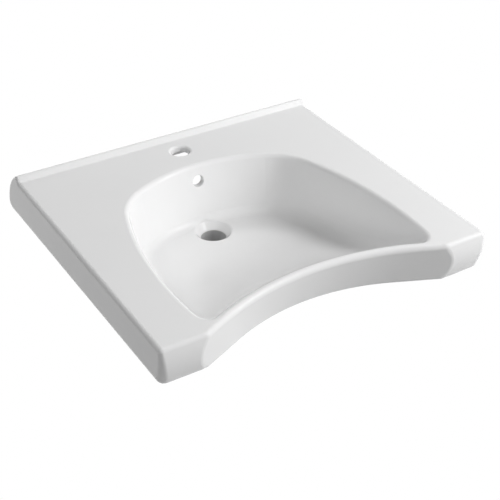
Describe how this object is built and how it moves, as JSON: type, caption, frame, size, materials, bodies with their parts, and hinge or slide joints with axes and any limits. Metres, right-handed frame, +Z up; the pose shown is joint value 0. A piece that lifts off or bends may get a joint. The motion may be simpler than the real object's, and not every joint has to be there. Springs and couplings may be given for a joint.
{
  "type": "wheelchair accessible sink",
  "caption": "Wall-hung washbasin with a concave front, a shallow bowl that ramps up to the user, a tap deck with a rear lip, and bolted wall fixings under cover caps.",
  "frame": {"origin": "on the wall, midway between the two wall fixings", "axes": "+X to the user's right, +Y into the wall, +Z up"},
  "size_m": [0.6, 0.63, 0.1639],
  "materials": {
    "glazed_ceramic": "white gloss glaze",
    "zinc_steel": "bright zinc plate",
    "bush_nylon": "moulded nylon",
    "cap_plastic": "white moulded"
  },
  "bodies": {
    "root": {"basin": "glazed_ceramic", "stud_left": "zinc_steel", "stud_right": "zinc_steel", "bush_left": "bush_nylon", "bush_right": "bush_nylon", "washer_left": "zinc_steel", "washer_right": "zinc_steel", "nut_left": "zinc_steel", "nut_right": "zinc_steel", "cap_left": "cap_plastic", "cap_right": "cap_plastic"}
  },
  "joints": []
}
